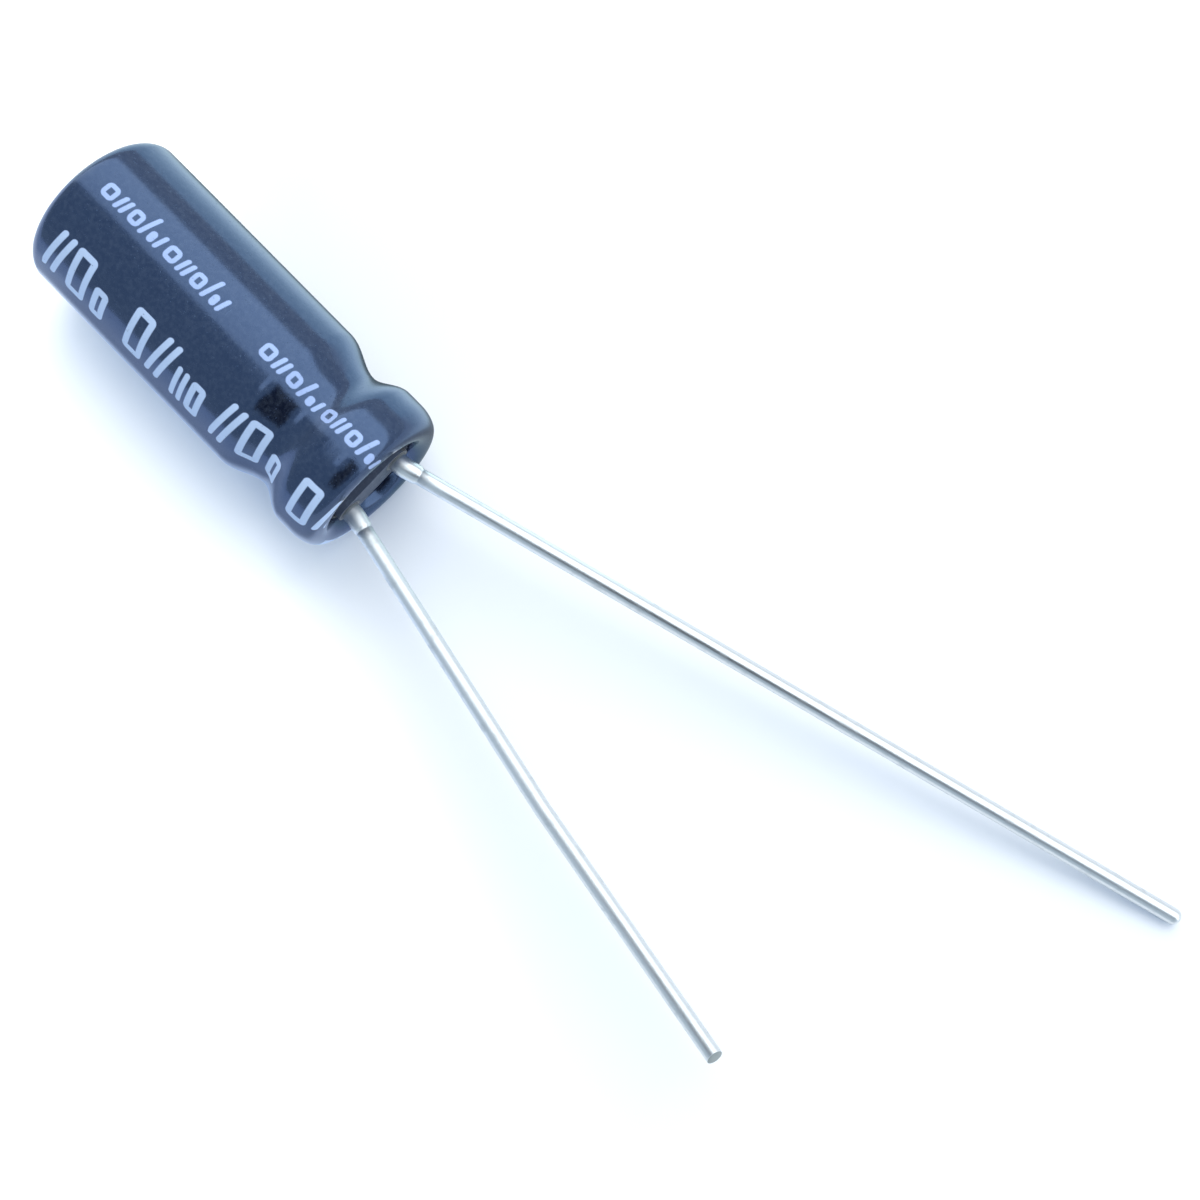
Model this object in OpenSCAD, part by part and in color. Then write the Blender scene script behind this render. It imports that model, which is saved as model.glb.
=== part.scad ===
// Radial aluminium electrolytic capacitor with splayed leads, lying on its side.
// The can is drawn upright, closed end down, and then laid along X with its leads towards +X.
// The long lead bends down to the floor and the short one stays clear of it.

/* [Can] */
// Outer diameter of the drawn aluminium can
can_d = 5.0; // [4.8:0.1:8]
// Length of the can from its closed end to the top of its curled rim
can_len = 11.55; // [9:0.05:20]
// Thickness of the can's side wall
can_wall = 0.22; // [0.15:0.01:0.28]
// Thickness of the can's closed end
can_base_t = 0.30; // [0.2:0.01:0.6]
// Outer corner radius at the closed end
can_base_r = 0.36; // [0.3:0.01:0.6]
// Inner corner radius at the closed end
can_inner_r = 0.15; // [0.05:0.01:0.3]
// Outer radius of the shoulder that rounds the can off before its curl
shoulder_r = 1.2; // [1:0.1:1.3]
// Angle that the shoulder turns in before the curl
shoulder_bend = 24; // [15:1:28]
// Outer radius of the rim, curled in over the bung
curl_r = 0.37; // [0.36:0.01:0.40]
// Straight end of the curl that bites into the bung
curl_bite = 0.12; // [0.05:0.01:0.3]

/* [Bead] */
// Depth of the rolled groove that grips the bung
bead_depth = 0.43; // [0.2:0.01:0.5]
// Distance of the groove's deepest line from the top of the rim
bead_drop = 2.25; // [2:0.05:2.6]
// Length of the groove's flank on the barrel side
bead_back = 1.40; // [0.8:0.05:1.8]
// Length of the groove's flank on the rim side
bead_front = 1.05; // [0.8:0.05:1.15]

/* [Sleeve] */
// Thickness of the shrunk film
film_t = 0.09; // [0.05:0.01:0.2]
// Slack between the film and the can
film_gap = 0.01; // [0.005:0.005:0.05]
// Radius of the bare disc that the film leaves at the closed end
film_eye_r = 1.85; // [1:0.05:1.95]
// Angle that the film turns in past the top of the rim
film_tuck = 80; // [30:1:85]

/* [Bung] */
// Height of the rubber bung
bung_h = 2.70; // [2.2:0.05:3.2]
// Depth of the bung's outer face below the top of the rim
bung_recess = 0.40; // [0.4:0.01:0.45]
// Clearance between the squeezed rubber and what it grips
bung_gap = 0.01; // [0.005:0.005:0.03]
// Width of the raised bar between the leads
bar_w = 0.95; // [0.9:0.05:1.2]
// Length that the bar runs past each lead's centre
bar_over = 0.40; // [0.2:0.05:0.5]
// Height of the bar over the bung's outer face
bar_h = 0.36; // [0.1:0.02:0.5]

/* [Wound element] */
// Thickness of the etched anode foil
anode_t = 0.10; // [0.06:0.01:0.12]
// Thickness of the cathode foil
cathode_t = 0.05; // [0.03:0.01:0.08]
// Thickness of each paper separator
paper_t = 0.05; // [0.03:0.01:0.06]
// Slack between one layer of the roll and the next
layer_gap = 0.012; // [0.01:0.002:0.02]
// Length that the paper is shorter than the room below the bung
paper_short = 1.05; // [0.8:0.05:2]
// Length that the paper stands past the foils at each end
paper_margin = 0.30; // [0.1:0.05:0.6]
// Thickness of the tape that closes the roll
tape_t = 0.04; // [0.02:0.01:0.06]
// Width of the tape along the roll
tape_w = 4.0; // [2:0.1:5]
// Clearance between the roll and the can
roll_gap = 0.06; // [0.03:0.01:0.15]

/* [Tabs] */
// Distance between the two leads' centres where they leave the bung
lead_pitch = 2.0; // [1.9:0.05:2.1]
// Diameter of the tabs' round rods
rod_d = 0.80; // [0.6:0.02:0.86]
// Thickness of the flattened part of each tab
tab_t = 0.15; // [0.1:0.01:0.18]
// Angle of the roll that a flattened tab spans to each side of its middle
tab_half = 24; // [16:1:28]
// Length of the taper between the flat part and the rod
tab_taper = 0.45; // [0.2:0.05:0.5]

/* [Leads] */
// Diameter of the tinned lead wire
wire_d = 0.50; // [0.4:0.02:0.56]
// Diameter of the weld collar that joins each wire to its rod
weld_d = 0.60; // [0.58:0.02:0.7]
// Narrowing of the weld collar's diameter towards its end
weld_draw = 0.03; // [0.01:0.005:0.03]
// Length of the weld collar before the bend
weld_root = 0.10; // [0.05:0.01:0.2]
// Length of the weld collar past the bend
weld_tail = 0.36; // [0.2:0.02:0.6]
// Length of the collar's taper down to the wire
weld_taper = 0.08; // [0.04:0.01:0.2]
// Radius of the bend at the root of each lead, at the wire's centre
bend_r = 1.0; // [0.6:0.1:2]
// Straight length of the long lead past its bend
anode_run = 25.8; // [18:0.1:30]
// Angle that the long lead is bent away from the can's axis
anode_bend = 16.6; // [12:0.1:22]
// Straight length of the short lead from its bend to its kink
cathode_run = 9.6; // [5:0.1:12]
// Straight length of the short lead past its kink
cathode_end = 8.2; // [5:0.1:12]
// Angle of the kink, back towards the can's axis
kink_bend = 2.2; // [0.5:0.1:4]
// Radius of the kink at the wire's centre
kink_r = 10; // [5:1:30]
// Angle that the short lead is bent away from the can's axis
cathode_bend = 11.6; // [6:0.1:16]
// Direction of the short lead's bend, turned about the can's axis from +Y
cathode_turn = 175.5; // [170:0.5:190]
// Tilt of the slanting cut at the short lead's end
cut_tilt = 30; // [0:1:45]

/* [Pose] */
// Angle that the capacitor is rolled about its own axis
body_roll = 13; // [0:1:30]

/* [Hidden] */
$fn = 72;

can_r = can_d / 2;
bore_r = can_r - can_wall;
rod_r = rod_d / 2;
wire_r = wire_d / 2;
weld_end_d = weld_d - weld_draw;
film_out = film_gap + film_t;
body_r = can_r + film_out;

// Levels along the can, from the film's face at the closed end
can_z0 = film_out;
floor_z = can_z0 + can_base_t;
rim_z = can_z0 + can_len;
lip_z = rim_z + film_out;
curl_z = rim_z - curl_r;
curl_x = can_r - shoulder_r + (shoulder_r - curl_r) * cos(shoulder_bend);
shoulder_x = can_r - shoulder_r;
shoulder_z = curl_z - (shoulder_r - curl_r) * sin(shoulder_bend);
bead_z = rim_z - bead_drop;
bung_z1 = rim_z - bung_recess;
bung_z0 = bung_z1 - bung_h;
rod_z1 = bung_z1 + bar_h;

// Steps of the arcs and of each flank of the groove
corner_steps = 6;
shoulder_steps = 4;
curl_steps = 14;
curl_step = 10;
bead_steps = 14;

// Roll: a spiral of paper, anode, paper and cathode, opened where a tab lies in it
turn = 2 * paper_t + anode_t + cathode_t + 4 * layer_gap;
grid = 12;
anode_off = paper_t + layer_gap;
outer_paper_off = anode_off + anode_t + layer_gap;
cathode_off = outer_paper_off + paper_t + layer_gap;
tab_creep = turn * tab_half / 360;
tab_room = tab_t + 2 * tab_creep + 3 * layer_gap;
open_flat = grid * ceil((tab_half + 6) / grid);
open_end = open_flat + 3 * grid;
anode_tab_at = 450;
cathode_tab_at = 270;
core_r = lead_pitch / 2 - tab_t / 2 - tab_creep - layer_gap
       - anode_off - anode_t - turn * anode_tab_at / 360;
roll_turns = (bore_r - roll_gap - tape_t - tab_room - core_r) / turn - 1;
paper_end = grid * floor(360 * roll_turns / grid);
anode_span = [10 * grid, paper_end - 9 * grid];
cathode_span = [4 * grid, paper_end - 4 * grid];
tape_span = [paper_end - 360 + grid, paper_end];
paper_z0 = floor_z + roll_gap;
paper_w = bung_z0 - floor_z - paper_short;
foil_z0 = paper_z0 + paper_margin;
foil_w = paper_w - 2 * paper_margin;
rod_z0 = paper_z0 + paper_w + tab_taper + layer_gap;

// Wire: it spreads a little in a bend, and its straight runs enter the bends by a short lap
bend_swell = 0.004;
bend_lap = 0.05;

// Pose: the long lead is turned until its round tip rests on the floor
exit_x = rod_z1 - lip_z + weld_root;
anode_exit = [exit_x, lead_pitch / 2 * cos(body_roll), body_r + lead_pitch / 2 * sin(body_roll)];
cathode_exit = [exit_x, -anode_exit.y, 2 * body_r - anode_exit.z];
anode_reach = bend_r * (1 - cos(anode_bend)) + anode_run * sin(anode_bend);
cathode_last = cathode_bend - kink_bend;
cathode_reach = bend_r * (1 - cos(cathode_bend)) + cathode_run * sin(cathode_bend)
              + kink_r * (cos(cathode_last) - cos(cathode_bend)) + cathode_end * sin(cathode_last);
anode_turn = -asin((anode_exit.z - wire_r) / anode_reach);
tip_x = exit_x + bend_r * sin(anode_bend) + anode_run * cos(anode_bend) + wire_r;
tip_y = anode_exit.y + anode_reach * cos(anode_turn) + wire_r;
low_y = min(-body_r, cathode_exit.y + cathode_reach * cos(cathode_turn)
            - wire_r * norm([cos(cathode_last), sin(cathode_last) * tan(cut_tilt)]));
centre = [(tip_x - lip_z) / 2, (tip_y + low_y) / 2, 0];

// Points of an arc
function arc(c, r, a0, a1, n) = [for (i = [0:n]) let (a = a0 + (a1 - a0) * i / n) c + r * [cos(a), sin(a)]];

function backwards(list) = [for (i = [len(list) - 1:-1:0]) list[i]];

// Share of the groove's depth at a level, 1 at its deepest line and 0 past its flanks
function dip(z) = let (run = z < bead_z ? bead_back : bead_front, d = abs(z - bead_z) / run)
    d < 1 ? (1 + cos(180 * d)) / 2 : 0;

function wall_at(r, z) = [r - bead_depth * dip(z), z];

bead_levels = concat([for (i = [0:bead_steps]) bead_z - bead_back * (1 - i / bead_steps)],
                     [for (i = [1:bead_steps]) bead_z + bead_front * i / bead_steps]);

// The grooved wall at radius r, from one level up
function grooved(r, z0) = concat(z0 > bead_levels[0] ? [wall_at(r, z0)] : [],
                                 [for (z = bead_levels) if (z > z0) wall_at(r, z)]);

// Shoulder over an angle, at an offset from the can's outer face
function shoulder(off, last) = arc([shoulder_x, shoulder_z], shoulder_r + off, 0, last, shoulder_steps);

// Shoulder and curl, at an offset from the can's outer face
function rim(off, last) = concat(
    shoulder(off, shoulder_bend),
    arc([curl_x, curl_z], curl_r + off, shoulder_bend + curl_step, last, curl_steps));

// Side of the can from the closed end's corner to the turned-in rim, at an offset from its outer face
function skin(off, last) = concat(
    arc([can_r - can_base_r, can_z0 + can_base_r], can_base_r + off, -90, 0, corner_steps),
    grooved(can_r + off, 0),
    rim(off, last));

// Opening of the roll round a tab: 1 over the tab, falling to 0 at its sides
function opened(a) = let (d = abs((a + 540) % 360 - 180))
    d <= open_flat ? 1 : d < open_end ? (1 + cos(180 * (d - open_flat) / (open_end - open_flat))) / 2 : 0;

// Radius of the spiral at an angle; a layer is pushed out by each tab from the angles in past
function wound(a, off, past) = core_r + turn * a / 360 + off
    + tab_room * (a > past[0] ? opened(a - anode_tab_at) : 0)
    + tab_room * (a > past[1] ? opened(a - cathode_tab_at) : 0);

function at(a, r) = r * [cos(a), sin(a)];

// Lays a piece drawn upright along X, rim at the origin's plane, and rolls it
module laid() {
    translate([-lip_z, 0, body_r] - centre)
        rotate([body_roll, 0, 0])
            rotate([0, 90, 0])
                children();
}

// A strip wound over a span of angles
module strip(span, off, t, past) {
    steps = (span[1] - span[0]) / grid;
    angles = [for (i = [0:steps]) span[0] + i * grid];
    polygon(concat([for (a = angles) at(a, wound(a, off, past) + t)],
                   backwards([for (a = angles) at(a, wound(a, off, past))])));
}

// A strip of a given width, standing at a level of the can
module wrap(z0, w, span, off, t, past) {
    laid()
        translate([0, 0, z0])
            linear_extrude(w)
                strip(span, off, t, past);
}

// The turn at which each tab starts to push the layers inside and outside it
inside_anode_tab = [anode_tab_at + 180, cathode_tab_at + 180];
outside_anode_tab = [anode_tab_at - 180, cathode_tab_at + 180];

module sleeve() {
    color([0.14, 0.16, 0.24])
        laid()
            rotate_extrude()
                polygon(concat([[film_eye_r, 0]],
                               skin(film_out, 90 + film_tuck),
                               backwards(skin(film_gap, 90 + film_tuck)),
                               [[film_eye_r, film_t]]));
}

module can() {
    color([0.80, 0.81, 0.83])
        laid()
            rotate_extrude()
                polygon(concat([[0, can_z0]],
                               skin(0, 180),
                               [[curl_x - curl_r, curl_z - curl_bite],
                                [curl_x - curl_r + can_wall, curl_z - curl_bite]],
                               backwards(rim(-can_wall, 180)),
                               backwards(grooved(bore_r, 0)),
                               arc([bore_r - can_inner_r, floor_z + can_inner_r], can_inner_r, 0, -90,
                                   corner_steps),
                               [[0, floor_z]]));
}

// Rubber plug: grooved by the bead, bitten by the curled rim, pierced for the two rods
module bung() {
    bite_z = curl_z - curl_bite - bung_gap;
    bite_r0 = curl_x - curl_r - bung_gap;
    bite_r1 = curl_x - curl_r + can_wall + bung_gap;
    shoulder_fill = asin((curl_z - shoulder_z) / (shoulder_r - can_wall - bung_gap));
    drill_over = 1;
    color([0.22, 0.23, 0.25])
        laid()
            difference() {
                union() {
                    rotate_extrude()
                        polygon(concat([[0, bung_z0]],
                                       grooved(bore_r - bung_gap, bung_z0),
                                       shoulder(-can_wall - bung_gap, shoulder_fill),
                                       [[bite_r1, curl_z],
                                        [bite_r1, bite_z],
                                        [bite_r0, bite_z],
                                        [bite_r0, bung_z1],
                                        [0, bung_z1]]));
                    translate([0, 0, bung_z1 - bar_h])
                        linear_extrude(2 * bar_h)
                            bar();
                }
                for (side = [-1, 1])
                    translate([0, side * lead_pitch / 2, bung_z0 - drill_over])
                        cylinder(r = rod_r + bung_gap, h = bung_h + bar_h + 2 * drill_over);
            }
}

// Outline of the raised bar between the leads
module bar() {
    square([bar_w, lead_pitch + 2 * bar_over - bar_w], center = true);
    for (side = [-1, 1])
        translate([0, side * (lead_pitch / 2 + bar_over - bar_w / 2)])
            circle(d = bar_w);
}

module anode_foil() {
    color([0.55, 0.56, 0.56])
        wrap(foil_z0, foil_w, anode_span, anode_off, anode_t, inside_anode_tab);
}

module cathode_foil() {
    color([0.72, 0.72, 0.70])
        wrap(foil_z0, foil_w, cathode_span, cathode_off, cathode_t, outside_anode_tab);
}

module inner_separator() {
    color([0.86, 0.80, 0.66])
        wrap(paper_z0, paper_w, [0, paper_end], 0, paper_t, inside_anode_tab);
}

module outer_separator() {
    color([0.83, 0.76, 0.62])
        wrap(paper_z0, paper_w, [0, paper_end], outer_paper_off, paper_t, outside_anode_tab);
}

module fixing_tape() {
    color([0.75, 0.62, 0.32])
        wrap(paper_z0 + (paper_w - tape_w) / 2, tape_w, tape_span, turn, tape_t, outside_anode_tab);
}

// Tab: a flattened strip that lies on its foil in the roll, and a round rod through the bung
module tab(at_angle, foil_face, side) {
    r = wound(at_angle, foil_face, [at_angle, at_angle]) + tab_creep + layer_gap;
    flat_z0 = foil_z0 + paper_margin;
    laid() {
        translate([0, 0, flat_z0])
            rotate([0, 0, side * 90 - tab_half])
                rotate_extrude(angle = 2 * tab_half)
                    translate([r, 0])
                        square([tab_t, rod_z0 - flat_z0]);
        translate([0, side * lead_pitch / 2, rod_z0 - tab_taper])
            cylinder(r1 = tab_t, r2 = rod_r, h = tab_taper);
        translate([0, side * lead_pitch / 2, rod_z0])
            cylinder(r = rod_r, h = rod_z1 - rod_z0);
    }
}

module anode_tab() {
    color([0.78, 0.79, 0.80])
        tab(anode_tab_at, anode_off + anode_t, 1);
}

module cathode_tab() {
    color([0.78, 0.79, 0.80])
        tab(cathode_tab_at, cathode_off + cathode_t, -1);
}

// Bar of radius thick curved from the origin, from +X towards +Y
module curve(r, bend, thick) {
    translate([0, r, 0])
        rotate([0, 0, -90])
            rotate_extrude(angle = bend)
                translate([r, 0])
                    circle(r = thick + bend_swell);
}

// Moves its children to the end of such a curve
module past_curve(r, bend) {
    translate([r * sin(bend), r * (1 - cos(bend)), 0])
        rotate([0, 0, bend])
            children();
}

// Straight wire along +X, entering the curves at its ends by a short lap
module straight(run, laps) {
    translate([-bend_lap, 0, 0])
        rotate([0, 90, 0])
            cylinder(r = wire_r, h = run + laps * bend_lap);
}

// Collar past the bend, drawn in a little and then tapering down to the wire
module collar_end() {
    translate([-bend_lap, 0, 0])
        rotate([0, 90, 0]) {
            cylinder(d1 = weld_d, d2 = weld_end_d, h = weld_tail + bend_lap);
            translate([0, 0, weld_tail + bend_lap])
                cylinder(d1 = weld_end_d, d2 = wire_d, h = weld_taper);
        }
}

// Lead from its rod: weld collar, bent in the plane turned about X, straight run, then its children
module lead(root, turned, bend, run, laps) {
    color([0.86, 0.87, 0.88])
        translate(root - centre) {
            translate([-weld_root, 0, 0])
                rotate([0, 90, 0])
                    cylinder(d = weld_d, h = weld_root + bend_lap);
            rotate([turned, 0, 0]) {
                curve(bend_r, bend, weld_d / 2);
                past_curve(bend_r, bend) {
                    collar_end();
                    straight(run, laps);
                    translate([run, 0, 0])
                        children();
                }
            }
        }
}

module anode_lead() {
    lead(anode_exit, anode_turn, anode_bend, anode_run, 1)
        sphere(r = wire_r);
}

// The short lead is knocked a little back towards the can's axis on its way, and cut on the slant
module cathode_lead() {
    lead(cathode_exit, cathode_turn, cathode_bend, cathode_run, 2)
        mirror([0, 1, 0]) {
            curve(kink_r, kink_bend, wire_r);
            past_curve(kink_r, kink_bend)
                difference() {
                    straight(cathode_end + wire_d * tan(cut_tilt), 1);
                    translate([cathode_end, 0, 0])
                        rotate([0, cut_tilt, 0])
                            translate([0, -wire_d, -wire_d])
                                cube(2 * wire_d);
                }
        }
}

sleeve();
can();
bung();
anode_foil();
cathode_foil();
inner_separator();
outer_separator();
fixing_tape();
anode_tab();
cathode_tab();
anode_lead();
cathode_lead();
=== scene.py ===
import math
import bmesh
import bpy
from mathutils import Matrix, Vector


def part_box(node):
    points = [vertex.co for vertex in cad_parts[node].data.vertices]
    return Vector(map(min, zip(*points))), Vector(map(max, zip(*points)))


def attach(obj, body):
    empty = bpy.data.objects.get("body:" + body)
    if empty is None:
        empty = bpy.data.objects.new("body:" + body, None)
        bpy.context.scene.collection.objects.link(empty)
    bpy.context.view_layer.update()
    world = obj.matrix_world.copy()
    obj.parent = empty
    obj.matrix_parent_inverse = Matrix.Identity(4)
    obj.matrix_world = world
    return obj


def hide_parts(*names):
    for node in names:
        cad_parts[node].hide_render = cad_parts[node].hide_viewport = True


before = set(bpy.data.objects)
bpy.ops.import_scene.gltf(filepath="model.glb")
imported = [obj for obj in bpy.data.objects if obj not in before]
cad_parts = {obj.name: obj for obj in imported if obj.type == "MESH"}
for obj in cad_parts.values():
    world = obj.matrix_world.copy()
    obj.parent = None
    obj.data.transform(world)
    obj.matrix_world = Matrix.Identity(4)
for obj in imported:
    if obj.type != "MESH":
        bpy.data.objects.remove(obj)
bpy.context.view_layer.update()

mm = 0.001
degrees = 180 / math.pi  # in a radian
weldDistance = 1e-7
sleeveLow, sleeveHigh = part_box("sleeve")
filmRadius = (sleeveHigh.z - sleeveLow.z) / 2 / mm
axisY = (sleeveHigh.y + sleeveLow.y) / 2 / mm  # the can's axis lies along X, and all sizes below are in mm
axisZ = (sleeveHigh.z + sleeveLow.z) / 2 / mm
closedX = sleeveLow.x / mm
lipX = sleeveHigh.x / mm
bodyRoll = 13  # degrees that the can is rolled about its own axis


# A node's socket that Python's operators work on
class Socket:
    def __init__(self, tree, socket=None):
        self.tree = tree
        self.socket = socket

    def node(self, kind, settings=None, values=None, out=0):
        made = self.tree.nodes.new(kind)
        for name, value in (settings or {}).items():
            if name == "stops":
                self.setStops(made.color_ramp, value)
            else:
                setattr(made, name, value)
        for name, value in (values or {}).items():
            if isinstance(value, Socket):
                self.tree.links.new(value.socket, made.inputs[name])
            else:
                made.inputs[name].default_value = value
        return Socket(self.tree, made.outputs[out] if len(made.outputs) else None)

    def setStops(self, ramp, stops):
        while len(ramp.elements) < len(stops):
            ramp.elements.new(1)
        for element, (position, colour) in zip(ramp.elements, stops):
            element.position = position
            element.color = colour

    def sum(self, operation, *terms, clamp=False):
        settings = {"operation": operation, "use_clamp": clamp}
        return self.node("ShaderNodeMath", settings, dict(enumerate(terms)))

    def __add__(self, other):
        return self.sum("ADD", self, other)

    def __radd__(self, other):
        return self.sum("ADD", other, self)

    def __sub__(self, other):
        return self.sum("SUBTRACT", self, other)

    def __rsub__(self, other):
        return self.sum("SUBTRACT", other, self)

    def __mul__(self, other):
        return self.sum("MULTIPLY", self, other)

    def __rmul__(self, other):
        return self.sum("MULTIPLY", other, self)

    def __truediv__(self, other):
        return self.sum("DIVIDE", self, other)

    def __rtruediv__(self, other):
        return self.sum("DIVIDE", other, self)

    def __mod__(self, other):
        return self.sum("FLOORED_MODULO", self, other)

    def __abs__(self):
        return self.sum("ABSOLUTE", self)

    def most(self, other):
        return self.sum("MAXIMUM", self, other)

    def least(self, other):
        return self.sum("MINIMUM", self, other)

    def over(self, edge, soft):  # 0 below the edge, 1 above it
        return self.sum("ADD", (self - edge) / soft, 0.5, clamp=True)

    def between(self, low, high, soft):
        return self.over(low, soft) * (1 - self.over(high, soft))

    def tint(self, other, share):  # the colour self turned into another by a share
        settings = {"data_type": "RGBA"}
        return self.node("ShaderNodeMix", settings, {0: share, 6: self, 7: other}, out=2)

    def split(self):
        return [self.node("ShaderNodeSeparateXYZ", None, {0: self}, out=i) for i in range(3)]

    def scaled(self, *factors):
        return self.node("ShaderNodeVectorMath", {"operation": "MULTIPLY"}, {0: self, 1: factors})


def rgba(red, green, blue):
    return (red, green, blue, 1)


def coloured(start, colour):
    made = start.node("ShaderNodeRGB")
    made.socket.default_value = colour
    return made


def placed(start):  # the point in mm
    return start.node("ShaderNodeTexCoord", out="Object").scaled(1 / mm, 1 / mm, 1 / mm)


def noise(start, vector, scale, detail=2, rough=0.5):
    return start.node("ShaderNodeTexNoise", None,
                      {"Vector": vector, "Scale": scale, "Detail": detail, "Roughness": rough})


# Camera

cameraSet = {
    "aim": (-0.166, 0.7135, 0.0),
    "distance": 48.879,
    "azimuth": 45.26,
    "elevation": 83.925,
    "roll": 0.213,
    "lens": 48.82,
    "sensor": 36,
    "clip": (0.001, 10),
}


def makeCamera(s):
    azimuth, elevation, roll = (math.radians(s[k]) for k in ("azimuth", "elevation", "roll"))
    back = Vector((math.sin(azimuth) * math.cos(elevation),
                   -math.cos(azimuth) * math.cos(elevation),
                   math.sin(elevation)))
    right = Vector((math.cos(azimuth), math.sin(azimuth), 0))
    up = back.cross(right)
    rolledRight = right * math.cos(roll) + up * math.sin(roll)
    rolledUp = up * math.cos(roll) - right * math.sin(roll)
    data = bpy.data.cameras.new("photoCamera")
    data.lens = s["lens"]
    data.sensor_width = s["sensor"]
    data.clip_start, data.clip_end = s["clip"]
    camera = bpy.data.objects.new("photoCamera", data)
    bpy.context.scene.collection.objects.link(camera)
    place = (Vector(s["aim"]) + back * s["distance"]) * mm
    turn = Matrix((rolledRight, rolledUp, back)).transposed().to_4x4()
    camera.matrix_world = Matrix.Translation(place) @ turn
    bpy.context.scene.camera = camera


# Studio: white table with painted light and shade beside the can, dim room, a long soft box and the dark
# camera over the object

studioSet = {
    "roomDim": rgba(0.47, 0.575, 0.67),
    "roomSide": rgba(0.74, 0.80, 0.86),
    "softBox": rgba(1.56, 1.66, 1.74),
    "softBoxFar": rgba(2.05, 2.17, 2.22),
    "boxFrom": 1.5,  # degrees from overhead towards +Y, and so are the next sizes
    "boxTo": 61,
    "boxEdge": 1.5,
    "boxLap": 19,
    "lapSlope": (-14.5, 3),  # degrees from overhead towards +X, between which the box laps further
    "lapEdge": 3,
    "sideTo": 92,
    "diffuseShare": 0.90,
    "keyDirection": (-0.283, 0.66, 1.0),
    "keyDistance": 0.5,
    "keySize": 0.40,
    "keyWatts": 0.92,
    "keyColour": (1.0, 0.98, 0.94),
    "cardAt": 49.3,
    "cardX": (1, 75),
    "cardY": (-56, 0.6),
    "darkX": (4, 62),
    "darkY": (-44, 12),
    "darkRound": 9,
    "darkEdge": 1.5,
    "coreX": 28,
    "coreEdge": 10,
    "raggedScale": 0.11,
    "ragged": 22,
    "cardGrey": rgba(0.19, 0.23, 0.28),
    "cardCore": rgba(0.012, 0.015, 0.025),
    "tableHalf": 300,
    "paper": 0.8,
    "seenPlain": 0.838,
    # painted light: beside the can the camera sees the paper brighter, which thins the can's cast shadow;
    # the next three sizes place it
    "seenPaintedLight": 1.16,
    "seenLean": 2,
    "seenFrom": -9,
    "seenFade": 10.5,
    "besideFrom": 2,
    "besideFade": 11,
    "mirroredPlain": 0.78,
    "paintedMirrorLevels": [  # distance from the axis towards +Y, and how bright mirrors show the paper there: painted shade close to the can and painted light further out
        (-22, 0.78), (-9, 0.72), (-6.8, 0.63), (-5.3, 0.50), (-4.7, 0.60), (-4.1, 1.10), (-3.3, 1.50),
        (2.9, 0.10), (3.8, 0.23), (4.7, 0.98), (6, 1.26), (8, 1.16), (12, 0.95), (22, 0.86),
    ],
    # painted light in mirrors: ahead of the closed end mirrors show the paper at this level, which
    # brightens the film's corner
    "paintedMirrorAhead": 1.0,
    "aheadFrom": -18.6,
    "aheadFade": 3,
    "aheadSide": (9, 14),
    # painted blue glow: colours that the paper gives off for camera and mirror rays, which lift its
    # shadows and reflections towards blue
    "paintedBlueSeen": rgba(0.0, 0.03, 0.10),
    "paintedBlueByCan": rgba(0.0, 0.0, 0.02),
    "paintedBlueBeside": rgba(0.0, 0.10, 0.34),
    "paintedTealRight": rgba(0.0, 0.29, 0.37),
    "paintedBluePlain": rgba(0.0, 0.02, 0.06),
}


def makeWorld(s):
    world = bpy.data.worlds.new("softRoom")
    bpy.context.scene.world = world
    world.use_nodes = True
    tree = world.node_tree
    tree.nodes.clear()
    start = Socket(tree)
    towards = start.node("ShaderNodeTexCoord", out="Generated").split()
    lean = start.sum("ARCTAN2", towards[1], towards[2]) * degrees
    slope = start.sum("ARCTAN2", towards[0], towards[2]) * degrees
    side = lean.between(s["boxTo"], s["sideTo"], s["boxEdge"])
    lap = slope.between(*s["lapSlope"], s["lapEdge"]) * s["boxLap"]
    box = lean.between(s["boxFrom"] - lap, s["boxTo"], s["boxEdge"])
    room = coloured(start, s["roomDim"])
    glow = coloured(start, s["softBox"]).tint(s["softBoxFar"], lean / s["boxTo"])
    light = room.tint(s["roomSide"], side).tint(glow, box)
    camera = start.node("ShaderNodeLightPath", out="Is Camera Ray")
    diffuse = start.node("ShaderNodeLightPath", out="Is Diffuse Ray")
    strength = 1 - diffuse * (1 - s["diffuseShare"])
    lit = start.node("ShaderNodeBackground", None, {"Color": light, "Strength": strength})
    white = start.node("ShaderNodeBackground", None, {"Color": rgba(1, 1, 1)})
    shown = start.node("ShaderNodeMixShader", None, {0: camera, 1: lit, 2: white})
    start.node("ShaderNodeOutputWorld", None, {"Surface": shown})


def makeKeyLight(s):
    data = bpy.data.lights.new("keyLight", "AREA")
    data.shape = "DISK"
    data.size = s["keySize"]
    data.energy = s["keyWatts"]
    data.color = s["keyColour"]
    key = bpy.data.objects.new("keyLight", data)
    bpy.context.scene.collection.objects.link(key)
    direction = Vector(s["keyDirection"]).normalized()
    key.location = direction * s["keyDistance"]
    key.rotation_euler = direction.to_track_quat("Z", "Y").to_euler()
    key.visible_glossy = False
    key.visible_camera = False


def makeFlat(name, alongX, alongY, level, material):
    mesh = bpy.data.meshes.new(name)
    (left, right), (front, back) = alongX, alongY
    corners = [(left, front), (right, front), (right, back), (left, back)]
    mesh.from_pydata([(x * mm, y * mm, level * mm) for x, y in corners], [], [(0, 1, 2, 3)])
    flat = bpy.data.objects.new(name, mesh)
    bpy.context.scene.collection.objects.link(flat)
    flat.data.materials.append(material)
    return flat


def newMaterial(name):
    material = bpy.data.materials.new(name)
    material.use_nodes = True
    material.node_tree.nodes.clear()
    return material, Socket(material.node_tree)


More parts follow.
